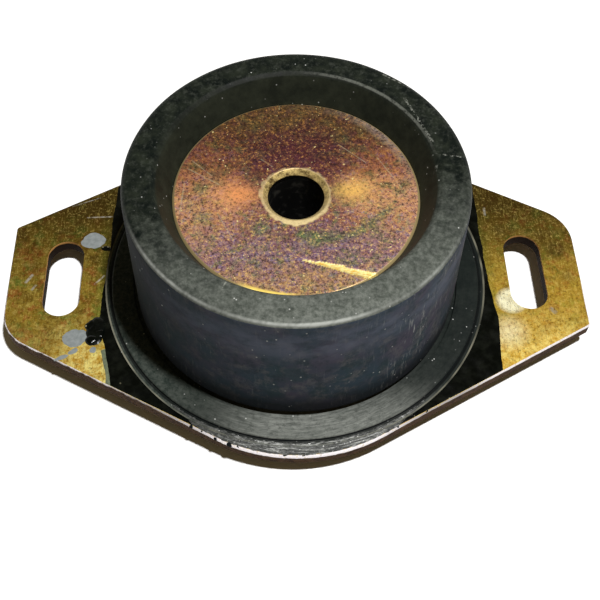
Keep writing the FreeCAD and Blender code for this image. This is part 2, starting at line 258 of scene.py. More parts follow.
# Tables in millimetres. Scratches are (start, end, width), and on the ears a brightness as well.
SCRATCHES = (
    ((-64.4, 22.6), (-53.9, 22.9), 0.28, 0.62),
    ((-69.5, 27.0), (-60.5, 30.5), 0.22, 0.42),
    ((-59.9, -2.6), (-56.9, 0.8), 0.35, 0.70),
    ((-80.6, -1.8), (-78.4, 1.6), 0.55, 0.50),
    ((-78.4, -4.4), (-77.1, -2.2), 0.45, 0.45),
    ((59.9, 24.6), (59.8, 21.0), 0.45, 0.40),
    ((74.3, -12.9), (76.5, -15.3), 0.9, 0.30),
)
DISC_SCRATCHES = (
    ((-29.5, 9.5), (-20.5, 3.5), 0.22),
    ((-28.5, 12.5), (-22.5, 6.5), 0.18),
    ((-31.0, -6.5), (-30.0, 4.5), 0.25),
    ((-21.0, -6.0), (-16.5, -15.5), 0.20),
    ((22.5, 12.5), (28.5, 1.5), 0.22),
    ((-9.5, 12.5), (-6.0, 9.5), 0.20),
    ((12.0, 17.5), (19.5, 10.5), 0.18),
)
RIM_MARKS = (
    ((36.1, 6.9), (43.9, 5.4), 0.30),
    ((37.1, 3.4), (33.3, -8.2), 0.55),
    ((30.4, 27.4), (36.8, 10.8), 0.45),
    ((24.1, 37.1), (32.9, 30.8), 0.40),
    ((-18.8, -35.6), (-17.4, -31.6), 0.25),
)
# Dark smudges on the ears and green ones on the disc: (x, y, reach, share).
EAR_SMUDGES = (
    (79.5, 8.0, 2.0, 0.85), (75.8, 13.0, 1.0, 0.7),
    (63.4, 15.6, 0.3, 0.9), (81.5, -2.0, 0.6, 0.5),
    (-78.0, 4.0, 0.8, 0.5), (-66.0, 20.5, 0.6, 0.7),
)
DISC_GREENS = (
    (13.2, 19.4, 0.9, 0.8), (-10.8, 24.0, 0.6, 0.6),
    (11.6, 0.8, 1.2, 0.7), (-25.5, 2.3, 1.0, 0.7),
    (-24.6, -7.6, 0.9, 0.7), (-22.8, 7.2, 0.6, 0.6),
    (-9.7, -11.2, 0.9, 0.8), (29.6, 3.2, 0.7, 0.6),
    (4.2, -15.2, 1.1, 0.8), (-28.0, -3.5, 0.8, 0.5),
)


def flange_plating():
    """Yellow zinc chromate, mottled brown, gold, red and green, over a sheared steel edge."""
    g = Graph("flange_plating", metallic=0.55, roughness=0.42, specular=0.06)
    x, y, z = g.axes()
    broad = g.noise(9, 4)
    fine = g.noise(1.7, 6, 0.8)
    grain = g.noise(0.7, 3, 0.75)
    brushed = g.noise(0.7, 4, 0.8, stretch=(1.6, 0.22, 1))
    color = g.mix(g.ramp(broad, 0.38, 0.64), (0.125, 0.0661, 0.00684), (0.342, 0.211, 0.0217))
    color = g.layers(color, (
        (fine, 0.42, 0.62, 0.85, (0.353, 0.257, 0.0388)),
        (g.noise(4, 5, 0.7), 0.52, 0.62, 0.6, (0.342, 0.0855, 0.0228)),
        (g.noise(5.3, 5, 0.7), 0.52, 0.62, 0.7, (0.12, 0.194, 0.0251)),
        (g.noise(3.1, 4), 0.58, 0.68, 0.6, (0.593, 0.445, 0.114)),
    ))
    # greener beside the black coat
    away = g.absolute(x)
    color = g.mix(g.span(away, 60.5, 57.5, 0, 0.6), color, (0.171, 0.194, 0.0251))
    # painted light: the front of each ear is a brighter yellow, and painted shade makes the back
    # duller
    place = g.plus(y, g.wander(broad, 9))
    painted_front_light = g.mix(g.ramp(fine, 0.42, 0.58), (0.684, 0.376, 0.0399), (1.0, 0.86, 0.28))
    front_light_share = g.times(g.span(place, -12, -26, 0, 0.85), g.span(x, -71, -63, 0.25, 1))
    color = g.mix(front_light_share, color, painted_front_light)
    color = g.mix(g.span(place, -2, 26, 0, 0.92), color, (0.0388, 0.0217, 0.00228))
    # painted light: the right ear is brighter and more orange in front, next to the coat
    painted_right_light = g.times(g.span(x, 50, 60, 0, 0.4), g.span(place, 12, -6))
    color = g.mix(painted_right_light, color, (0.707, 0.433, 0.0513))
    smudge = g.times(g.ramp(g.noise(6.5, 5, 0.7), 0.52, 0.64), g.span(place, -24, -8, 0.1, 0.6))
    for across, up, reach, share in EAR_SMUDGES:
        patchy = g.ramp(fine, 0.36, 0.52, 0.3 * share, share)
        smudge = g.larger(smudge, g.times(g.near(across, up, reach, 3.0), patchy))
    color = g.mix(smudge, color, (0.0684, 0.0433, 0.00684))
    # a pale worn spot beside the right slot, running down towards the front
    spot = g.near(63.6, -10.4, 3.2, 1.7)
    tail = g.near(61.4, -21.2, 1.5, 5.5)
    worn = g.larger(spot, g.times(tail, 0.5))
    color = g.mix(g.times(worn, g.ramp(fine, 0.25, 0.55, 0.6, 1)), color, (1.0, 0.96, 0.66))
    color = g.layers(color, (
        (grain, 0.54, 0.66, 0.6, (0.0456, 0.0205, 0.00342)),
        (grain, 0.44, 0.34, 0.4, (0.798, 0.593, 0.171)),
        (brushed, 0.53, 0.66, 0.4, (0.0684, 0.0342, 0.00684)),
        (brushed, 0.45, 0.35, 0.25, (0.684, 0.536, 0.137)),
    ))
    for first, second, width, level in SCRATCHES:
        mark = g.times(g.stroke(first, second, width), g.ramp(fine, 0.38, 0.55))
        color = g.mix(g.times(mark, 0.8), color, (level, level * 0.95, level * 0.8))
    # slot walls are dark with a copper rim
    level_face = g.ramp(g.facing_up(), 0.8, 0.9)
    from_slot = g.absolute(g.minus(away, SLOT_X))
    slot_wall = g.times(g.span(from_slot, 6.6, 6.5), g.span(g.absolute(y), 14.6, 14.5))
    depth = g.plus(g.minus(PLATE_TOP, z), g.wander(g.noise(2, 3), 0.4))
    wall = g.mix(g.span(depth, 0.5, 0.9), (0.798, 0.41, 0.125), (0.0182, 0.00912, 0.00456))
    # sheared side: bare steel above at the front, where the plating is worn off, torn and dark
    # below.
    # The steel band is deeper at the front and on the right, and brighter in the middle and out on
    # the
    # ears: partly burnish and partly a painted highlight
    burnish_and_highlight = g.span(away, 42, 20, 0.08 * MM, 1.2 * MM)
    burnish_and_highlight = g.larger(burnish_and_highlight, g.span(x, 24, 48, 0, 0.6 * MM))
    torn = g.span(g.minus(depth, burnish_and_highlight), 0, 0.25)
    brightened_edge = g.span(g.plus(y, g.wander(g.noise(7, 2), 4)), -3, -12)
    chipped = g.ramp(g.noise(1.1, 3, 0.7), 0.58, 0.64, 1, 0.55)
    painted_shine = g.larger(g.span(away, 34, 20), g.span(away, 46, 56, 0, 0.8))
    steel = g.mix(painted_shine, (0.48, 0.445, 0.445), (1.0, 0.96, 0.99))
    bright = g.mix(g.times(brightened_edge, chipped), color, steel)
    dark = g.mix(g.ramp(fine, 0.4, 0.6), (0.0251, 0.0103, 0.00456), (0.0969, 0.0513, 0.0228))
    side = g.mix(slot_wall, g.mix(torn, bright, dark), wall)
    color = g.mix(level_face, side, color)
    on_side = g.minus(1.0, level_face)
    rough = g.ramp(g.plus(fine, on_side), 0.3, 1.3, 0.38, 0.7)
    # the torn zone and the slot walls are not metallic
    matt_side = g.times(on_side, g.larger(torn, slot_wall))
    g.bump(g.plus(grain, fine), 0.35, 0.06)
    return g.finish(color, rough, g.ramp(matt_side, 0, 1, 0.55, 0.0))


def disc_plating():
    """Iridescent chromate: olive behind, plum by the bore, violet in front, a painted orange
    highlight at the sides.
    """
    g = Graph("disc_plating", metallic=0.5, roughness=0.42)
    x, y, _ = g.axes()
    radius = g.radius()
    broad = g.noise(8, 4, 0.65)
    mottle = g.noise(2.0, 6, 0.85)
    grain = g.noise(0.75, 3, 0.85)
    shifted = g.plus(y, g.wander(broad, 9, 0.2, 0.8))
    color = g.mix(g.span(shifted, 2, 12), (0.285, 0.0935, 0.0638), (0.103, 0.0274, 0.0296))
    color = g.mix(g.span(shifted, 17, 25), color, (0.0798, 0.0536, 0.0148))
    color = g.mix(g.span(shifted, -9, -17, 0, 0.85), color, (0.285, 0.177, 0.228))
    color = g.mix(g.span(shifted, -22, -28, 0, 0.7), color, (0.638, 0.365, 0.114))
    color = g.mix(g.ramp(mottle, 0.44, 0.60, 0, 0.75), color, (0.194, 0.0627, 0.0969))
    # painted highlight: a wide orange spread either side of the bore
    color = g.mix(g.painted("painted_highlight_fan"), color, (0.889, 0.433, 0.211))
    hue = g.noise(2.6, 5, 0.8)
    color = g.layers(color, (
        (hue, 0.54, 0.64, 0.6, (0.285, 0.108, 0.142)),
        (hue, 0.46, 0.37, 0.55, (0.376, 0.353, 0.148)),
        (g.noise(4, 5, 0.7), 0.54, 0.62, 0.55, (0.148, 0.217, 0.0741)),
    ))
    tint = g.noise(1.7, 5, 0.8)
    patches = g.noise(6, 4, 0.6)
    violet = g.times(g.ramp(tint, 0.50, 0.62), g.ramp(patches, 0.42, 0.58, 0.10, 0.62))
    violet = g.times(violet, g.span(shifted, 13, 21, 1.0, 0.15))
    color = g.mix(violet, color, (0.296, 0.228, 0.41))
    color = g.mix(g.ramp(tint, 0.47, 0.37, 0, 0.45), color, (0.547, 0.285, 0.0456))
    green = g.times(g.ramp(patches, 0.47, 0.37, 0, 0.6), g.ramp(mottle, 0.40, 0.56))
    for across, up, reach, share in DISC_GREENS:
        spot = g.times(g.near(across, up, reach, 2.6), g.ramp(mottle, 0.38, 0.54, 0.1, share))
        green = g.larger(green, spot)
    color = g.mix(green, color, (0.148, 0.211, 0.0855))
    color = g.mix(g.span(shifted, 19, 28, 0, 0.45), color, (0.251, 0.194, 0.057))
    plum = g.times(g.near(0, 12, 5, 12), g.ramp(mottle, 0.36, 0.56, 0.35, 0.8))
    color = g.mix(plum, color, (0.148, 0.0319, 0.0593))
    # a green smear in front of the bore, and a grey crescent behind, on the right
    smear = g.times(g.painted("smear"), g.ramp(mottle, 0.35, 0.55, 0.45, 1))
    color = g.mix(smear, color, (0.114, 0.182, 0.0684))
    grey = g.times(g.painted("crescent"), g.ramp(mottle, 0.36, 0.58, 0.45, 1))
    color = g.mix(grey, color, (0.593, 0.627, 0.593))
    color = g.layers(color, (
        (grain, 0.56, 0.66, 0.75, (1.0, 0.65, 0.19)),
        (grain, 0.49, 0.38, 0.85, (0.0274, 0.0114, 0.016)),
    ))
    # painted shade: darker from just in front of the bore to the back
    color = g.mix(g.span(shifted, -3, 9), color, (0.68, 0.52, 0.46), "MULTIPLY")
    # painted highlight: bright orange either side of the bore
    highlight_share = g.times(g.painted("painted_highlight"), g.ramp(g.plus(tint, grain), 0.80, 1.04, 0.35, 1))
    orange = g.mix(g.span(x, -5, 5), (1.0, 0.40, 0.14), (1.0, 0.59, 0.15))
    color = g.mix(highlight_share, color, orange)
    color = g.mix(g.ramp(g.noise(0.8, 1, 0.5), 0.73, 0.78), color, (1.0, 0.84, 0.38))
    for first, second, width in DISC_SCRATCHES:
        mark = g.times(g.stroke(first, second, width), g.ramp(mottle, 0.36, 0.52))
        color = g.mix(g.times(mark, 0.35), color, (0.627, 0.57, 0.388))
    # the outer edge is worn, and a painted highlight makes it yellow at the front
    worn = g.ramp(radius, DISC_RADIUS - 0.75 * MM, DISC_RADIUS - 0.5 * MM)
    yellow = g.near(-8, -32, 4, 5)
    margin = g.ramp(radius, DISC_RADIUS - 1.6 * MM, DISC_RADIUS - 1.2 * MM)
    color = g.mix(g.times(yellow, margin), color, (1.0, 0.74, 0.165))
    color = g.mix(worn, color, g.mix(yellow, (0.524, 0.399, 0.182), (1.0, 0.912, 0.285)))
    chamfer = g.ramp(radius, BORE_RADIUS + 1.45 * MM, BORE_RADIUS + 1.2 * MM)
    lip = g.mix(g.ramp(mottle, 0.40, 0.56), (0.114, 0.0684, 0.0205), (0.684, 0.513, 0.194))
    ring = g.times(g.painted("ring"), g.ramp(mottle, 0.34, 0.46, 0.3, 1))
    color = g.mix(ring, color, (0.912, 0.73, 0.365))
    color = g.mix(g.times(chamfer, g.span(y, 2, -4, 1.0, 0.3)), color, lip)
    bore = g.times(chamfer, g.ramp(g.facing_up(), 0.35, 0.2))
    color = g.mix(bore, color, (0.00912, 0.00798, 0.00684))
    streaks = g.noise(0.3, 2, 0.6, stretch=(0.25, 1.3, 1))
    bright = g.mix(g.ramp(streaks, 0.35, 0.65), (0.855, 0.479, 0.057), (1.0, 0.98, 0.433))
    color = g.mix(g.painted("gouge"), color, bright)
    rough = g.ramp(mottle, 0.3, 0.7, 0.36, 0.55)
    g.bump(g.plus(mottle, grain), 0.25, 0.05)
    return g.finish(color, rough)


def specked(g, color, spacing):
    """Pale dust specks, in drifts."""
    drift = g.ramp(g.noise(7, 2), 0.48, 0.6)
    speck = g.times(g.ramp(g.cells(spacing), 0.05, 0.11, 0.9, 0), drift)
    return g.mix(speck, color, (0.57, 0.581, 0.559))


def rubber_side():
    """Moulded black rubber, navy and plum in places, with scuffs that run up the side."""
    g = Graph("rubber_side", roughness=0.78, specular=0.12)
    _, _, z = g.axes()
    painted_light = g.painted("painted_light")
    front = g.layers((0.0274, 0.0456, 0.0638), (
        (g.noise(13, 3), 0.4, 0.62, 1.0, (0.0547, 0.0502, 0.0752)),
        (g.noise(7, 2), 0.52, 0.66, 0.6, (0.0182, 0.0456, 0.0502)),
        (g.noise(5, 5, 0.75), 0.5, 0.64, 0.8, (0.0969, 0.0969, 0.103)),
        (g.noise(3.5, 5, 0.75), 0.5, 0.64, 0.7, (0.016, 0.0251, 0.0319)),
    ))
    # painted light: paler and bluer towards the front and front right, dark at the left and back
    color = g.mix(painted_light, (0.00342, 0.00684, 0.00798), front)
    # a painted sheen in a wide stripe below the rim, strongest where the side is painted lightest
    sheen = g.ramp(g.noise(8, 4, 0.6, stretch=(1, 1, 1.8)), 0.36, 0.62, 0.15, 0.8)
    band = g.times(g.ramp(z, RIM_TOP - 19 * MM, RIM_TOP - 11 * MM),
                   g.ramp(z, RIM_TOP - 3 * MM, RIM_TOP - 7 * MM, 0.35, 1.0))
    color = g.mix(g.times(band, painted_light, sheen), color, (0.114, 0.132, 0.185))
    # painted shade: the lowest part of the side is darkened where it meets the ledge
    height = g.plus(z, g.wander(g.noise(6, 3), 2))
    foot_shade = g.ramp(height, PLATE_TOP + 14 * MM, PLATE_TOP + 6 * MM, 0, 0.88)
    color = g.mix(foot_shade, color, (0.00342, 0.00456, 0.0057))
    scratch = g.noise(0.9, 4, 0.75, stretch=(1, 1, 0.12))
    area = g.ramp(g.noise(9, 2), 0.42, 0.6)
    scuff = g.times(g.ramp(scratch, 0.55, 0.68), area, g.painted("scuff"), 0.9)
    color = specked(g, g.mix(scuff, color, (0.342, 0.353, 0.342)), 2.6)
    g.bump(g.plus(g.noise(0.5, 3), g.noise(4, 4, 0.6)), 0.3, 0.06)
    return g.finish(color)


def rubber_face():
    """The same rubber where it lies level: dusty, with a painted sheen in front, a ledge with
    streaks and a tan flash line.
    """
    g = Graph("rubber_face", roughness=0.5, specular=0.08)
    x, y, z = g.axes()
    radius = g.radius()
    cloud = g.noise(4, 5, 0.65)
    grit = g.noise(1.3, 5, 0.75)
    dark = g.mix(g.ramp(cloud, 0.4, 0.7), (0.00228, 0.00456, 0.00342), (0.0182, 0.0228, 0.0148))
    dark = g.mix(g.ramp(grit, 0.50, 0.70, 0, 0.55), dark, (0.0627, 0.0695, 0.057))
    # paler towards the front and right, partly dust and partly a painted sheen; darker behind and
    # at the left
    dust = g.mix(g.ramp(grit, 0.36, 0.64), (0.0684, 0.0787, 0.0661), (0.19, 0.204, 0.181))
    lean = g.minus(g.times(x, 0.17), g.times(y, 0.95))
    dust_and_sheen_place = g.plus(lean, g.wander(cloud, 11, 0.2, 0.8))
    color = g.mix(g.span(dust_and_sheen_place, 5, 44), dark, dust)
    # painted shade: a darker inner edge at the back of the rim
    inner_back_shade = g.times(g.span(radius, 38.3, 37.9), g.span(y, 0, 18, 0, 0.45))
    color = g.mix(inner_back_shade, color, (0.0114, 0.0125, 0.00912))
    on_rim = g.ramp(z, RIM_TOP - 3 * MM, RIM_TOP - 2 * MM, 0, 0.65)
    for first, second, width in RIM_MARKS:
        mark = g.times(g.stroke(first, second, width), g.ramp(grit, 0.48, 0.58), on_rim)
        color = g.mix(mark, color, (0.342, 0.353, 0.308))
    # a thin painted highlight along the rim's inner edge, behind and to the right
    from_edge = g.absolute(g.minus(radius, RIM_INNER + 0.45 * MM))
    brightened_edge = g.times(g.span(from_edge, 0.45, 0.2), g.ramp(grit, 0.36, 0.5, 0.1, 0.5))
    brightened_edge = g.times(brightened_edge, g.times(g.span(y, 6, 20), g.span(x, 0, 14)))
    color = g.mix(brightened_edge, color, (0.239, 0.251, 0.217))
    recess = g.times(g.ramp(z, RIM_TOP - 0.4 * MM, RIM_TOP - 1.2 * MM),
                     g.ramp(radius, RIM_INNER + 0.3 * MM, RIM_INNER, 0, 0.9))
    inner = g.mix(g.ramp(cloud, 0.35, 0.65), (0.0114, 0.0137, 0.00912), (0.0239, 0.0274, 0.0182))
    color = g.mix(recess, color, inner)
    # the ledge is dark; painted light makes it greyer at the left, where the body's shadow falls,
    # and painted shade darker at the right; in front it has pale streaks, partly a painted sheen; a
    # crease lies outside it
    low = g.ramp(z, PLATE_TOP + 3 * MM, PLATE_TOP + 2 * MM)
    ledge = g.mix(g.ramp(cloud, 0.35, 0.65), (0.00342, 0.00684, 0.0057), (0.0148, 0.0205, 0.016))
    painted_fill_light = g.mix(g.ramp(grit, 0.38, 0.62), (0.0137, 0.0228, 0.0182), (0.0684, 0.0798, 0.0684))
    ledge = g.mix(g.span(x, -22, -40, 0, 0.85), ledge, painted_fill_light)
    ledge = g.mix(g.span(x, 12, 34, 0, 0.75), ledge, (0.003, 0.006, 0.006))
    color = g.mix(g.times(low, 0.92), color, ledge)
    from_crease = g.absolute(g.minus(radius, CREASE))
    crease = g.times(low, g.span(from_crease, 0.55, 0.3, 0, 0.85))
    streak = g.noise(0.6, 4, 0.75, g.round_axis(0.12))
    middle = g.times(g.span(x, -26, -8, 0.15, 1.0), g.span(x, 42, 27, 0.2, 1.0))
    streaks_and_sheen = g.times(low, middle, g.span(y, -36, -49, 0.10, 1.0),
                       g.ramp(streak, 0.36, 0.66, 0.35, 1.0), g.ramp(grit, 0.3, 0.5, 0.5, 1))
    color = g.mix(streaks_and_sheen, color, (0.245, 0.257, 0.234))
    color = g.mix(crease, color, (0.00342, 0.00456, 0.00456))
    # painted highlight on the rim's outer round, where the rubber is also less rough
    painted_rim_highlight = g.painted("painted_rim_highlight")
    color = g.mix(painted_rim_highlight, color, (0.524, 0.547, 0.513))
    color = g.mix(g.painted("tan"), color, (0.41, 0.388, 0.285))
    color = specked(g, color, 2.2)
    rough = g.minus(g.ramp(cloud, 0.3, 0.7, 0.46, 0.58), g.times(painted_rim_highlight, 0.15))
    g.bump(g.plus(grit, cloud), 0.35, 0.08)
    return g.finish(color, rough)


def rubber_skin():
    """Thin torn skin on the lobes: black, with pale ridges that follow the ring, partly worn and
    partly a painted highlight.
    """
    g = Graph("rubber_skin", roughness=0.42, specular=0.35)
    x, y, _ = g.axes()
    ridge = g.noise(0.55, 5, 0.8, g.round_axis(0.14))
    flake = g.noise(1.3, 5, 0.8)
    # the pale ridges, partly a painted highlight, and the painted glints are strongest in front and
    # to the right
    level = g.times(g.span(y, -40, -54, 0.25, 1.0), g.span(x, -28, -10, 0.15, 1.0))
    color = g.mix(g.ramp(flake, 0.35, 0.62), (0.00684, 0.00912, 0.00912), (0.0969, 0.1, 0.0935))
    worn = g.times(g.ramp(ridge, 0.49, 0.64), level)
    color = g.mix(worn, color, (0.502, 0.513, 0.49))
    torn = g.times(g.ramp(flake, 0.56, 0.60, 0, 0.9), g.span(x, 4, 22, 0.45, 1.0))
    color = g.mix(torn, color, (0.00912, 0.0103, 0.0103))
    painted_glint = g.times(g.ramp(g.noise(0.7, 2, 0.6), 0.66, 0.72), level)
    color = g.mix(painted_glint, color, (0.969, 0.98, 0.958))
    g.bump(g.plus(ridge, flake), 0.5, 0.12)
    return g.finish(color)


def bond_coat():
    """Glossy black coat with a few pale crumbs in it."""
    g = Graph("bond_coat", roughness=0.16, specular=0.15)
    cloud = g.ramp(g.noise(3, 3), 0.45, 0.7)
    color = g.mix(cloud, (0.00171, 0.00228, 0.00171), (0.00684, 0.00798, 0.0057))
    crumbs = g.times(g.ramp(g.cells(3.4), 0.06, 0.11, 0.8, 0), g.ramp(g.noise(5, 2), 0.58, 0.64))
    color = g.mix(crumbs, color, (0.57, 0.536, 0.342))
    g.bump(g.noise(2.4, 3), 0.3, 0.03)
    return g.finish(color, g.ramp(g.noise(4, 3), 0.3, 0.7, 0.10, 0.32))


def primer(name, low, high):
    """Matt grey primer, clouded between two colours."""
    g = Graph(name, roughness=0.5, specular=0.3)
    return g.finish(g.mix(g.ramp(g.noise(1.2, 4), 0.35, 0.7), low, high))


def bore_wall():
    """The sleeve's wall: steel under the black coat, which is thin in blotches."""
    g = Graph("bore_wall", metallic=0.3, roughness=0.55, specular=0.3)
    blotch = g.ramp(g.noise(2.2, 3), 0.55, 0.7)
    return g.finish(g.mix(blotch, (0.00684, 0.00684, 0.00684), (0.0684, 0.0661, 0.057)))


# ---- meshes ----

def make_piece(name, vertices, faces, material, smooth_angle=40):
    """A new piece of the mount. Edges that turn by more than the angle in degrees stay sharp."""
    mesh = bpy.data.meshes.new(name)
    mesh.from_pydata([tuple(v) for v in vertices], [], faces)
    mesh.validate()
    mesh.materials.append(material)
    mesh.shade_smooth()
    mesh.set_sharp_from_angle(angle=math.radians(smooth_angle))
    piece = bpy.data.objects.new(name, mesh)
    bpy.context.scene.collection.objects.link(piece)
    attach(piece, "root")
    return piece


def paint(piece, name, values):
    """Store one number at each point of the mesh."""
    layer = piece.data.attributes.new(name, "FLOAT", "POINT")
    layer.data.foreach_set("value", np.asarray(values, np.float32))


def section_of(node):
    """The corners of a turned node's section on the side of +X, as (radius, height) in order."""
    work = bmesh.new()
    work.from_mesh(frame["nodes"][node].data)
    bmesh.ops.remove_doubles(work, verts=work.verts, dist=1e-7)
    tilt = math.radians(0.37)  # so that the cut misses the mesh's own edges
    cut = bmesh.ops.bisect_plane(
        work, geom=work.verts[:] + work.edges[:] + work.faces[:], dist=1e-8,
        plane_co=(0, 0, 0), plane_no=(-math.sin(tilt), math.cos(tilt), 0),
    )["geom_cut"]
    ties = {}
    for edge in (e for e in cut if isinstance(e, bmesh.types.BMEdge)):
        ends = [(round(math.hypot(v.co.x, v.co.y), 6), round(v.co.z, 6)) for v in edge.verts]
        if min(v.co.x for v in edge.verts) > 0 and ends[0] != ends[1]:
            ties.setdefault(ends[0], set()).add(ends[1])
            ties.setdefault(ends[1], set()).add(ends[0])
    work.free()
    start = min(ties)
    loop = [start]
    here = min(ties[start], key=lambda p: p[1])
    while here != start:
        loop.append(here)
        here = next(p for p in ties[here] if p != loop[-2])
    return drop_straight(loop)


def turn_at(before, here, after):
    """By how much a section turns at a point."""
    first = math.atan2(here[1] - before[1], here[0] - before[0])
    second = math.atan2(after[1] - here[1], after[0] - here[0])
    return (second - first + math.pi) % FULL_TURN - math.pi


def drop_straight(loop):
    """Leave out the points that lie along a straight run."""
    count = len(loop)
    return [
        loop[i] for i in range(count)
        if abs(turn_at(loop[i - 1], loop[i], loop[(i + 1) % count])) > STRAIGHT
    ]


def softened(loop, size):
    """Cut each sharp corner of a section by a small curve of three points."""
    out = []
    count = len(loop)
    for i, here in enumerate(loop):
        before, after = loop[i - 1], loop[(i + 1) % count]
        if abs(turn_at(before, here, after)) < SHARP:
            out.append(here)
            continue
        behind, beyond = math.dist(before, here), math.dist(here, after)
        reach = min(size, 0.3 * behind, 0.3 * beyond)
        back = tuple(h + (b - h) * reach / behind for h, b in zip(here, before))
        ahead = tuple(h + (a - h) * reach / beyond for h, a in zip(here, after))
        middle = tuple(0.25 * b + 0.5 * h + 0.25 * a for b, h, a in zip(back, here, ahead))
        out += [back, middle, ahead]
    return out


def finely(loop, spacing):
    """Divide the runs of a section so that no step is longer than its spacing."""
    out = []
    count = len(loop)
    for i, here in enumerate(loop):
        after = loop[(i + 1) % count]
        steps = max(1, round(math.dist(here, after) / spacing(here, after)))
        out += [tuple(h + (a - h) * k / steps for h, a in zip(here, after)) for k in range(steps)]
    return out


def turned(section, around):
    """Points and faces of a section swept round the axis."""
    rows = len(section)
    angles = np.linspace(0, FULL_TURN, around, endpoint=False)
    radii, heights = np.array(section).T
    x = np.outer(np.cos(angles), radii)
    y = np.outer(np.sin(angles), radii)
    points = np.stack([x, y, np.tile(heights, (around, 1))], -1).reshape(-1, 3)
    faces = []
    for a in range(around):
        b = (a + 1) % around
        for k in range(rows):
            m = (k + 1) % rows
            faces.append((a * rows + k, b * rows + k, b * rows + m, a * rows + m))
    return points, faces


def ring_faces(start, rings, around):
    """Faces between closed rings of points that follow one another."""
    return [
        (a + k, a + around + k, a + around + (k + 1) % around, a + (k + 1) % around)
        for a in range(start, start + (rings - 1) * around, around) for k in range(around)
    ]


def polar(points):
    """Radius, and angle in degrees from +X."""
    x, y = points[:, 0], points[:, 1]
    return np.hypot(x, y), np.degrees(np.arctan2(y, x))


def hump(offset, width):
    """One at no offset, falling smoothly to nothing beyond the width."""
    return np.exp(-((offset / width) ** 2))


def hump_at(angle, centre, width):
    """The same round a direction, in degrees."""
    return hump((angle - centre + 180) % 360 - 180, width)


def field(x, y, z):
    """Smooth noise from about -1 to 1 at a place."""
    return noise.noise(Vector((x, y, z)))


def ripple(angle, pace, seed):
    """The same along an angle in degrees."""
    return np.array([field(a * pace, seed, 0) for a in angle])


def off_line(places, start, end):
    """Distance from a straight line's nearest point, and how far along the line that point is."""
    along = end - start
    run = np.clip((places - start) @ along / (along @ along), 0, 1)
    nearest = start + run[:, None] * along
    return np.linalg.norm(places - nearest, axis=1), run


def plate_reach():
    """Distance from the axis to the flange's edge for any direction, found by looking inwards."""
    plate = frame["nodes"]["flange_plate"].data
    corners, sides = [v.co for v in plate.vertices], [p.vertices for p in plate.polygons]
    tree = BVHTree.FromPolygons(corners, sides)
    height = Vector((0, 0, (plate_low.z + PLATE_TOP) / 2))
    outside = 2 * plate_high.x

    def reach(angle):
        way = Vector((math.cos(angle), math.sin(angle), 0))
        hit = tree.ray_cast(way * outside + height, -way)[0]
        return math.hypot(hit.x, hit.y)
    return reach


edge_reach = plate_reach()


def film(name, inner, outer, rows, thickness, material):
    """A thin coat between two outlines given as distances from the axis, domed at its edges."""
    angles = np.linspace(0, FULL_TURN, FILM_STEPS, endpoint=False)
    inside = np.array([inner(a) for a in angles])
    outside = np.array([outer(a) for a in angles])
    present = outside > inside + 0.05 * MM
    widths = np.maximum(outside, inside) - inside
    points, faces = [], []
    for a, start, width in zip(angles, inside, widths):
        for share in np.linspace(0, 1, rows):
            r = start + share * width
            x, y = r * math.cos(a), r * math.sin(a)
            fall = min(1.0, (1 - share) * width / FILM_EDGE)
            height = LIFT + thickness * math.sqrt(max(0.0, fall))
            wave = 1 + 0.3 * noise.noise(Vector((x, y, 0)) * 400)
            points.append((x, y, PLATE_TOP + height * wave))
    for i in range(FILM_STEPS):
        j = (i + 1) % FILM_STEPS
        if present[i] and present[j]:
            for k in range(rows - 1):
                faces.append((i * rows + k, i * rows + k + 1, j * rows + k + 1, j * rows + k))
    make_piece(name, points, faces, material)


def spots(name, rows, material):
    """Domed spots with uneven outlines, from a table like PRIMER_SPOTS."""
    rings, around = 7, 56
    points, faces = [], []
    for x, y, reach, height, seed, stretch, lean in rows:
        x, y, reach, height = x * MM, y * MM, reach * MM, height * MM
        start = len(points)
        points.append((x, y, PLATE_TOP + height))
        for ring in range(1, rings + 1):
            share = ring / rings
            for k in range(around):
                a = FULL_TURN * k / around
                c, s = math.cos(a), math.sin(a)
                rough = field(c * 0.8, s * 0.8, seed)
                rough += 0.3 * field(c * 3, s * 3, seed + 9)
                r = reach * share * (1 + 0.3 * rough)
                along, aside = r * c * stretch, r * s
                points.append((
                    x + along * math.cos(lean) - aside * math.sin(lean),
                    y + along * math.sin(lean) + aside * math.cos(lean),
                    PLATE_TOP + LIFT + height * math.sqrt(1 - share ** 2),
                ))
        faces += [(start, start + 1 + k, start + 1 + (k + 1) % around) for k in range(around)]
        faces += ring_faces(start + 1, rings, around)
    make_piece(name, points, faces, material)


# ---- pieces of the mount ----

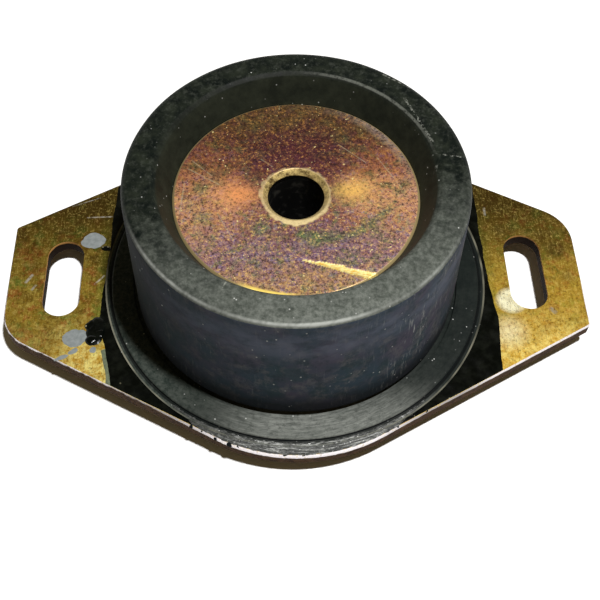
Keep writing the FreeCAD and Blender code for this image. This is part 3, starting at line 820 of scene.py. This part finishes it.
def rubber_moulding():
    """The turned moulding, with soft corners, nicks in the rim, and its wear, painted light and
    painted highlights as numbers at its points.
    """
    def spacing(here, after):
        """Fine on the rim's outer round and at the lip, and coarse where the flange hides it."""
        nearest, lowest = min(here[0], after[0]), min(here[1], after[1])
        if lowest > RIM_TOP - 2.6 * MM and nearest > 43 * MM:
            return 0.25 * MM
        if nearest > SKIN_RADIUS - 1.5 * MM:
            return 0.3 * MM
        hidden = max(here[1], after[1]) < PLATE_TOP + 0.2 * MM
        return 4 * MM if hidden else 1.3 * MM

    section = finely(softened(section_of("rubber_body"), 0.22 * MM), spacing)
    points, faces = turned(section, around=480)
    radius, angle = polar(points)
    height = points[:, 2]
    outward = points[:, :2] / np.maximum(radius, 1e-9)[:, None]

    # uneven outer side
    side = (radius > 44 * MM) & (height > PLATE_TOP + 3 * MM)
    wave = np.array([noise.noise(Vector(p) * 60) for p in points])
    points[side, :2] += outward[side] * (wave[side] * 0.12 * MM)[:, None]
    # nicks in the inner edge of the rim, on the side of +X
    rim_edge = hump(radius - RIM_INNER, 1.3 * MM) * (height > RIM_TOP - 3 * MM)
    nick = rim_edge * hump_at(angle, 0, 13) * np.clip(ripple(angle, 0.35, 3.1) * 2, 0, 1)
    points[:, 2] -= nick * 0.15 * MM
    # the top is slightly uneven
    top = height > RIM_TOP - 0.5 * MM
    points[top, 2] -= (0.5 + 0.5 * wave[top]) * 0.08 * MM

    moulding = make_piece("rubber_moulding", points, faces, RUBBER_FACE, smooth_angle=50)
    moulding.data.materials.append(RUBBER_SIDE)
    for face in moulding.data.polygons:
        face.material_index = 0 if face.normal.z > 0.35 else 1
    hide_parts("rubber_body")

    lip = (radius > SKIN_RADIUS - 0.45 * MM) & (height > PLATE_TOP + 0.42 * MM)
    back = 1 - 0.9 * hump_at(angle, -90, 26)
    streak = 0.5 + 0.9 * ripple(angle, 0.22, 0.7)
    paint(moulding, "tan", 0.6 * lip * back * np.clip(streak + 0.1, 0, 1))
    right = np.maximum(hump_at(angle, -48, 12), 0.6 * hump_at(angle, -15, 34))
    paint(moulding, "scuff", (0.12 + 0.88 * right) * side)
    # painted light on the side, strongest at the front and the front right
    painted_light = 1.15 * hump_at(angle, -88, 43) + 0.66 * hump_at(angle, -38, 30)
    paint(moulding, "painted_light", np.clip(painted_light, 0, 1))
    # a pale painted highlight runs along the outer round of the rim, along the front
    round_edge = hump(radius - RIM_HIGHLIGHT, 0.28 * MM) * (height > RIM_TOP - 2.1 * MM)
    streaks = 0.55 + 0.5 * ripple(angle, 0.16, 5.2)
    streaks += np.array([0.5 * field(a * 1.7, 7.2, r * 900) for a, r in zip(angle, radius)])
    along = np.maximum(1.6 * hump_at(angle, -88, 22), 0.9 * hump_at(angle, -135, 18))
    along = np.maximum(along, 0.5 * hump_at(angle, -45, 16))
    painted_rim_highlight = round_edge * along * np.clip(streaks + 0.2, 0, 1)
    paint(moulding, "painted_rim_highlight", np.clip(painted_rim_highlight, 0, 1))


def lobe_skin():
    """Ridged rubber skin between the ring and the edge of each lobe of the flange."""
    points, faces = [], []
    rows, columns, half_angle = 34, 420, 40
    inner = SKIN_RADIUS - 1.35 * MM
    for facing in (90, -90):
        start = len(points)
        for a in np.radians(np.linspace(facing - half_angle, facing + half_angle, columns)):
            reach = edge_reach(a) - 0.35 * MM
            reach += 0.25 * MM * field(a * 40, facing, 0)
            # the skin thins out towards the ends of the lobe
            off = abs(math.degrees(a) - facing) + 4 * field(a * 15, facing, 2)
            spread = min(1.0, max(0.0, (half_angle - off) / 12))
            reach = inner + max(0.02 * MM, (reach - inner) * spread)
            for k in range(rows):
                r = inner + k / (rows - 1) * (reach - inner)
                way = Vector((math.cos(a) * r, math.sin(a) * r, 0))
                ridge = 0.10 * MM * math.sin(r / (0.42 * MM) * math.pi)
                rough = 0.12 * MM * field(r * 2500, a * 22, 0)
                rough += 0.14 * MM * noise.noise(way * 1100)
                edge = max(0, min(1.0, (reach - r) / FILM_EDGE))
                body = 0.48 * MM + ridge + rough
                points.append((way.x, way.y, PLATE_TOP + LIFT + body * math.sqrt(edge)))
        for i in range(columns - 1):
            for k in range(rows - 1):
                a = start + i * rows + k
                faces.append((a, a + 1, a + rows + 1, a + rows))
    make_piece("lobe_skin", points, faces, RUBBER_SKIN, smooth_angle=60)


# Burrs on the flange's front edge: direction in degrees, length and half its width in mm.
BURRS = (
    (-120.8, 1.5, 0.62), (-117.4, 0.9, 0.45), (-113.2, 1.3, 0.75),
    (-109.0, 2.0, 0.85), (-106.6, 1.1, 0.42), (-94.0, 1.8, 0.34),
    (-89.0, 2.6, 0.30), (-62.0, 1.0, 0.36), (-52.5, 1.4, 0.42),
)


def flash_burrs():
    """Torn crumbs of moulding flash that hang on the front edge of the flange."""
    points, faces = [], []
    rings, around = 8, 14
    for degrees, length, size in BURRS:
        a = math.radians(degrees)
        outwards = Vector((math.cos(a), math.sin(a), 0))
        sideways = Vector((-math.sin(a), math.cos(a), 0))
        height = PLATE_TOP - (0.1 + 0.7 * size) * MM
        centre = outwards * (edge_reach(a) - 0.4 * MM) + Vector((0, 0, height))
        faces += ring_faces(len(points), rings, around)
        for ring in range(rings):
            tilt = math.pi * ring / (rings - 1)
            for k in range(around):
                turn = FULL_TURN * k / around
                lump = 1 + 0.5 * field(ring * 0.7, math.cos(turn), degrees)
                across = math.sin(tilt) * size * MM * lump
                points.append(centre + sideways * math.cos(tilt) * length / 2 * MM
                              + outwards * across * math.cos(turn)
                              + Vector((0, 0, across * math.sin(turn))))
    make_piece("flash_burrs", points, faces, RUBBER_SIDE, smooth_angle=60)


def load_disc():
    """The turned disc with a gouge cut across its face, and its colours' places as numbers."""
    def spacing(here, after):
        return 0.4 * MM if min(here[1], after[1]) > DISC_TOP - 0.1 * MM else 1.5 * MM

    section = finely(softened(section_of("load_disc"), 0.12 * MM), spacing)
    points, faces = turned(section, around=560)
    top = points[:, 2] > DISC_TOP - 1 * MM
    # a forked gouge: a thin start that widens, and a second prong beside it
    cut = np.zeros(len(points))
    for start, end, narrow, wide in (((1.2, -21.6), (20.6, -27.5), 0.25, 1.15),
                                     ((5.1, -22.2), (11.8, -23.9), 0.15, 0.30)):
        away, run = off_line(points[:, :2], np.array(start) * MM, np.array(end) * MM)
        half = (narrow + (wide - narrow) * run) * MM
        cut = np.maximum(cut, top * (away < half) * (run > 0))
    points[:, 2] -= cut * 0.12 * MM
    disc = make_piece("load_disc_turned", points, faces, DISC, smooth_angle=35)
    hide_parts("load_disc")
    paint(disc, "gouge", cut)

    radius, angle = polar(points)
    # a painted orange highlight on both sides of the bore, and a wider spread of it
    sideways = np.degrees(np.arctan2(points[:, 1], np.abs(points[:, 0])))
    leaning = sideways - np.where(points[:, 0] > 0, 4, 0)
    out = radius / DISC_RADIUS
    paint(disc, "painted_highlight", hump(leaning, 13) * hump(out - 0.46, 0.15))
    paint(disc, "painted_highlight_fan", 0.75 * (hump(leaning, 32) * np.clip((out - 0.25) / 0.3, 0, 1)))
    # the face is worn pale just outside the bore, most of all in front
    worn_to = 9.5 + 1.3 * hump_at(angle, -92, 42) + 0.5 * hump_at(angle, 165, 30)
    worn_to += 0.5 * ripple(angle, 0.12, 4.4)
    ring = np.clip((worn_to * MM - radius) / (0.25 * MM), 0, 1)
    paint(disc, "ring", ring * (0.45 + 0.55 * hump_at(angle, -90, 70)))
    smear = np.zeros(len(points))
    bends = [np.array(p) * MM for p in ((0.5, -13.6), (8.4, -15.2), (15.5, -13.4), (23.9, -6.2))]
    for start, end in zip(bends, bends[1:]):
        away, _ = off_line(points[:, :2], start, end)
        smear = np.maximum(smear, hump(away, 1.3 * MM))
    paint(disc, "smear", 0.8 * smear)
    margin = np.clip((radius - 29.6 * MM) / (2.6 * MM), 0, 1)
    paint(disc, "crescent", 0.95 * margin * hump_at(angle, 38, 27))


# The black coat's edge on the left: how far out it lies, from the front of the flange to the back.
COAT_LEFT_UP = np.array([-40, -33, -24, -21, -17, -12, -6, 0, 12, 20, 40]) * MM
COAT_LEFT_OUT = np.array([52.0, 53.2, 55.0, 56.2, 57.2, 57.3, 57.1, 56.5, 56.1, 56.2, 55.1]) * MM


def coat_edge(angle):
    """How far the black coat reaches in one direction: to its own edge, or to the flange's."""
    c, s = math.cos(angle), math.sin(angle)
    reach = edge_reach(angle) - COAT_MARGIN
    wave = 0.35 * MM * field(s * 11, c * 2, 0.4)
    wave += 0.12 * MM * field(s * 60, c * 2, 1.4)
    if abs(c) < 0.3:
        # the lobes are coated up to their edge
        return reach
    if c > 0:
        # on the right a nearly straight edge, with a bulge towards the front
        up = 57.9 * s / c
        bulge = 1.1 * MM * math.exp(-((up + 17) / 9) ** 2)
        return min(reach, (57.6 * MM - 0.012 * reach * s + bulge + wave) / c)
    # on the left a curve over the height across, so the place is found by repeating
    line = reach
    for _ in range(12):
        line = (np.interp(line * s, COAT_LEFT_UP, COAT_LEFT_OUT) + wave) / -c
    return min(reach, line)


def primer_inside(angle):
    """The primer starts just under the coat."""
    return max(coat_edge(angle) - 0.15 * MM, SKIN_RADIUS - 0.1 * MM)


def primer_outside(angle):
    """It shows as a narrow margin outside the coat, at the front on the left."""
    up = 56 * MM * math.sin(angle)
    shown = math.cos(angle) < 0 and -40 * MM < up < -23 * MM
    width = (1.2 + 0.7 * field(angle * 14, 2.2, 0)) * MM if shown else 0
    return min(primer_inside(angle) + width, edge_reach(angle) - COAT_MARGIN)


# Spots of primer, and a drip of the coat: x, y, reach and height in mm, seed, stretch and lean.
PRIMER_SPOTS = (
    (-61.3, 13.7, 3.05, 0.03, 1.0, 1.2, 0.0),
    (-63.6, -20.8, 3.0, 0.03, 2.0, 1.25, 0.0),
    (-67.2, -27.5, 0.65, 0.02, 3.0, 3.2, 0.42),
    (-63.9, -25.4, 0.8, 0.02, 3.5, 2.0, 0.5),
    (-58.4, -25.0, 0.9, 0.02, 6.5, 1.3, 1.2),
)
DRIP_SPOTS = (
    (-58.1, -18.7, 2.8, 0.55, 5.0, 1.6, 1.62),
    (-59.0, -21.6, 1.7, 0.75, 6.0, 1.1, 0.4),
    (-57.0, -19.8, 1.6, 0.65, 7.0, 1.2, 0.9),
    (-59.6, -16.7, 1.6, 0.60, 9.0, 1.3, 1.3),
    (-57.2, 10.6, 0.9, 0.2, 8.0, 1.8, -0.2),
)


# ---- stage ----

def white_stage():
    """A white floor that takes the shadow, and a world that is white to the camera and to metal."""
    turns = [FULL_TURN * k / FLOOR_CORNERS for k in range(FLOOR_CORNERS)]
    mesh = bpy.data.meshes.new("floor")
    mesh.from_pydata([(FLOOR_RADIUS * math.cos(a), FLOOR_RADIUS * math.sin(a), 0) for a in turns],
                     [], [range(FLOOR_CORNERS)])
    mesh.materials.append(floor_paper())
    floor = bpy.data.objects.new("floor", mesh)
    floor.location.z = -0.02 * MM
    bpy.context.scene.collection.objects.link(floor)

    world = bpy.data.worlds.new("world")
    bpy.context.scene.world = world
    world.use_nodes = True
    g = Nodes(world.node_tree)
    path = g.add("ShaderNodeLightPath").outputs
    # reflections find a white backdrop up to the ceiling's height, and a dim ceiling above it
    height = g.split(g.add("ShaderNodeTexCoord").outputs["Generated"])[2]
    backdrop = g.ramp(height, *BACKDROP_END, 1.0, CEILING)
    mirrored = g.times(g.larger(path["Is Glossy Ray"], path["Is Transmission Ray"]), backdrop)
    white = g.larger(mirrored, path["Is Camera Ray"])
    background = g.tree.nodes["Background"].inputs
    g.put(background["Strength"], g.larger(white, AMBIENT))
    g.put(background["Color"], g.mix(white, AMBIENT_TINT, (1.0, 1.0, 1.0)))


def floor_paper():
    """White paper that the camera, metal and glass see a little brighter than the object does."""
    material = bpy.data.materials.new("floor")
    material.use_nodes = True
    g = Nodes(material.node_tree)
    g.tree.nodes.remove(g.tree.nodes["Principled BSDF"])
    path = g.add("ShaderNodeLightPath").outputs
    seen = g.larger(path["Is Camera Ray"], path["Is Glossy Ray"])
    seen = g.larger(seen, path["Is Transmission Ray"])
    color = g.mix(seen, (FLOOR_BOUNCE,) * 3, (FLOOR_SEEN,) * 3)
    paper = g.add("ShaderNodeBsdfDiffuse", {"Color": color})
    g.put(g.tree.nodes["Material Output"].inputs["Surface"], paper.outputs[0])
    return material


def lamp(name, place, size, power):
    """A round area lamp that faces the middle of the object."""
    data = bpy.data.lights.new(name, "AREA")
    data.shape = "DISK"
    data.size = size
    data.energy = power
    light = bpy.data.objects.new(name, data)
    light.location = place
    light.rotation_euler = (-Vector(place)).to_track_quat("-Z", "Y").to_euler()
    bpy.context.scene.collection.objects.link(light)


def camera():
    """From the front and 57 degrees up, fitted to the photograph's edges, slots and rings."""
    elevation, yaw, roll = math.radians(57.15), math.radians(1.157), math.radians(0.1085)
    distance, aside, below = 0.2970, -0.00256, -0.00773
    back = Vector((0, -math.cos(elevation), math.sin(elevation)))
    right = Vector((1, 0, 0))
    up = back.cross(right)
    right, up = (math.cos(roll) * right + math.sin(roll) * up,
                 -math.sin(roll) * right + math.cos(roll) * up)
    place = back * distance + right * aside + up * below
    turn = Matrix.Rotation(-yaw, 3, "Z")
    place, right, up, back = (turn @ v for v in (place, right, up, back))
    data = bpy.data.cameras.new("camera")
    data.sensor_width = 36
    data.lens = 59.4
    data.shift_x, data.shift_y = 0.0227, 0.0005
    data.clip_start, data.clip_end = 0.01, 20
    eye = bpy.data.objects.new("camera", data)
    matrix = Matrix((right, up, back)).transposed().to_4x4()
    matrix.translation = place + Vector((0, 0, PLATE_TOP))
    eye.matrix_world = matrix
    bpy.context.scene.collection.objects.link(eye)
    bpy.context.scene.camera = eye


DISC = disc_plating()
RUBBER_FACE = rubber_face()
RUBBER_SIDE = rubber_side()
RUBBER_SKIN = rubber_skin()
COAT = bond_coat()
PRIMER = primer("primer", (0.205, 0.228, 0.228), (0.285, 0.308, 0.308))
PRIMER_EDGE = primer("primer_edge", (0.086, 0.108, 0.063), (0.194, 0.217, 0.137))

for node, material in (("flange_plate", flange_plating()), ("core_sleeve", bore_wall())):
    slots = frame["nodes"][node].data.materials
    slots.clear()
    slots.append(material)

rubber_moulding()
lobe_skin()
flash_burrs()
load_disc()
film("bond_coat_film", lambda _: SKIN_RADIUS - 0.2 * MM, coat_edge, 26, 0.06 * MM, COAT)
film("primer_strip", primer_inside, primer_outside, 6, 0.025 * MM, PRIMER_EDGE)
spots("primer_spots", PRIMER_SPOTS, PRIMER)
spots("coat_drip", DRIP_SPOTS, COAT)

white_stage()
lamp("key", place=(0.19, -0.105, 0.95), size=0.065, power=9.8)
camera()
bpy.context.scene.view_settings.view_transform = "Standard"
